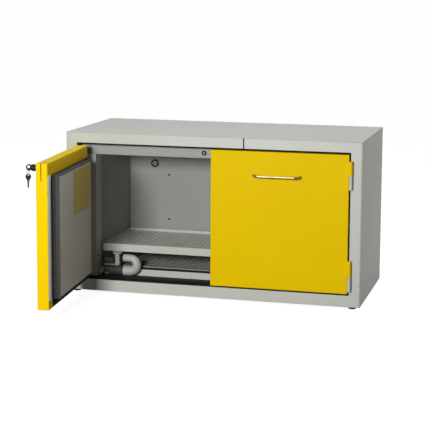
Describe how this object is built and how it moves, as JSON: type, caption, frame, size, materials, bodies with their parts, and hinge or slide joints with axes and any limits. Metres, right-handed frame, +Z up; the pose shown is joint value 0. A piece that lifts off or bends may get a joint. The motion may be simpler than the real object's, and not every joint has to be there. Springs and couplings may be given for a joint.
{
  "type": "flammable storage cabinet",
  "caption": "Low under-bench fire-resistant cabinet: two hinged doors over a shelf, a sump tray and an exhaust fitting; push lock with keys, bow handles, left door open.",
  "frame": {"origin": "centre of the underside of the bottom panel, 8 mm above the floor that the feet stand on", "axes": "+Z up, +X to the right of someone facing the doors, +Y towards the rear; the front faces -Y"},
  "size_m": [1.1, 1.0405, 0.6],
  "materials": {
    "grey_paint": "light grey powder coat, fine texture",
    "yellow_paint": "yellow powder coat, semi-gloss",
    "lining_grey": "light grey laminate",
    "panel_grey": "mid grey, satin",
    "insulation": "raw mineral fire board",
    "graphite": "dark fire board with a graphite edge",
    "black_rubber": "matt black",
    "black_plastic": "satin black",
    "dark_valve": "dark grey moulded",
    "pipe_grey": "light grey moulded pipe",
    "chrome": "polished",
    "steel": "bright steel"
  },
  "bodies": {
    "cabinet": {"outer_top": "grey_paint", "outer_side_left": "grey_paint", "outer_side_right": "grey_paint", "outer_rear": "grey_paint", "bottom_panel": "grey_paint", "front_stile_left": "grey_paint", "front_stile_right": "grey_paint", "front_rail_top_left": "grey_paint", "front_rail_top_right": "grey_paint", "front_rail_bottom": "grey_paint", "rear_foot_rail": "grey_paint", "hinge_lower_left": "grey_paint", "hinge_lower_right": "grey_paint", "hinge_upper_left": "grey_paint", "hinge_upper_right": "grey_paint", "inner_rail_top": "lining_grey", "inner_jamb_left": "lining_grey", "inner_jamb_right": "lining_grey", "lining_left": "lining_grey", "lining_right": "lining_grey", "lining_rear": "lining_grey", "shelf_support_left": "lining_grey", "shelf_support_right": "lining_grey", "sill_board": "graphite", "floor_board": "insulation", "ceiling_board": "insulation", "insulation_left": "insulation", "insulation_right": "insulation", "insulation_rear": "insulation", "door_seal": "black_rubber", "lock_strike": "black_plastic", "rear_vent": "black_plastic", "exhaust_bend": "pipe_grey", "exhaust_spool": "pipe_grey", "exhaust_spigot": "pipe_grey", "exhaust_valve": "dark_valve", "exhaust_union": "chrome"},
    "left_door": {"door_left_shell": "yellow_paint", "door_left_core": "graphite", "door_left_inner_panel": "panel_grey", "door_left_edge_strip": "lining_grey", "door_left_handle": "chrome"},
    "right_door": {"door_right_shell": "yellow_paint", "door_right_core": "graphite", "door_right_inner_panel": "panel_grey", "door_right_edge_strip": "lining_grey", "door_right_handle": "chrome"},
    "lock_plunger": {"lock_plunger": "black_plastic"},
    "lock_key": {"lock_plug": "steel", "key": "steel"},
    "key_ring": {"key_ring": "steel"},
    "spare_key": {"spare_key": "steel"},
    "shelf": {"shelf": "grey_paint"},
    "sump_tray": {"sump_tray": "grey_paint"},
    "sump_insert": {"sump_insert": "grey_paint", "sump_insert_strip": "black_rubber"},
    "foot_front_left": {"foot_front_left": "black_rubber"},
    "foot_front_right": {"foot_front_right": "black_rubber"},
    "foot_rear_left": {"foot_rear_left": "black_rubber"},
    "foot_rear_right": {"foot_rear_right": "black_rubber"}
  },
  "joints": [
    {"name": "left_door_swing", "type": "hinge", "parent": "cabinet", "child": "left_door", "pos_m": [-0.512, -0.2575, 0.29], "axis": [0, 0, 1], "range_deg": [-10, 85]},
    {"name": "right_door_swing", "type": "hinge", "parent": "cabinet", "child": "right_door", "pos_m": [0.512, -0.2575, 0.29], "axis": [0, 0, 1], "range_deg": [0, 95]},
    {"name": "lock_push", "type": "slide", "parent": "left_door", "child": "lock_plunger", "axis": [0.9962, 0.0872, 0], "range_m": [0, 0.006], "stiffness_N_per_m": 400},
    {"name": "key_turn", "type": "hinge", "parent": "lock_plunger", "child": "lock_key", "pos_m": [-0.47043, -0.73269, 0.526], "axis": [0.9962, 0.0872, 0], "range_deg": [0, 90]},
    {"name": "key_ring_swing", "type": "hinge", "parent": "lock_key", "child": "key_ring", "pos_m": [-0.49902, -0.73519, 0.5242], "axis": [-0.0872, 0.9962, 0], "range_deg": [-10, 45]},
    {"name": "spare_key_swing", "type": "hinge", "parent": "key_ring", "child": "spare_key", "pos_m": [-0.49902, -0.73519, 0.5022], "axis": [-0.0872, 0.9962, 0], "range_deg": [-15, 45]},
    {"name": "shelf_lift", "type": "slide", "parent": "cabinet", "child": "shelf", "axis": [0, 0, 1], "range_m": [0, 0.3]},
    {"name": "sump_tray_lift", "type": "slide", "parent": "cabinet", "child": "sump_tray", "axis": [0, 0, 1], "range_m": [0, 0.02]},
    {"name": "sump_insert_lift", "type": "slide", "parent": "sump_tray", "child": "sump_insert", "axis": [0, 0, 1], "range_m": [0, 0.03]},
    {"name": "foot_front_left_level", "type": "slide", "parent": "cabinet", "child": "foot_front_left", "axis": [0, 0, -1], "range_m": [0, 0.015]},
    {"name": "foot_front_right_level", "type": "slide", "parent": "cabinet", "child": "foot_front_right", "axis": [0, 0, -1], "range_m": [0, 0.015]},
    {"name": "foot_rear_left_level", "type": "slide", "parent": "cabinet", "child": "foot_rear_left", "axis": [0, 0, -1], "range_m": [0, 0.015]},
    {"name": "foot_rear_right_level", "type": "slide", "parent": "cabinet", "child": "foot_rear_right", "axis": [0, 0, -1], "range_m": [0, 0.015]}
  ]
}
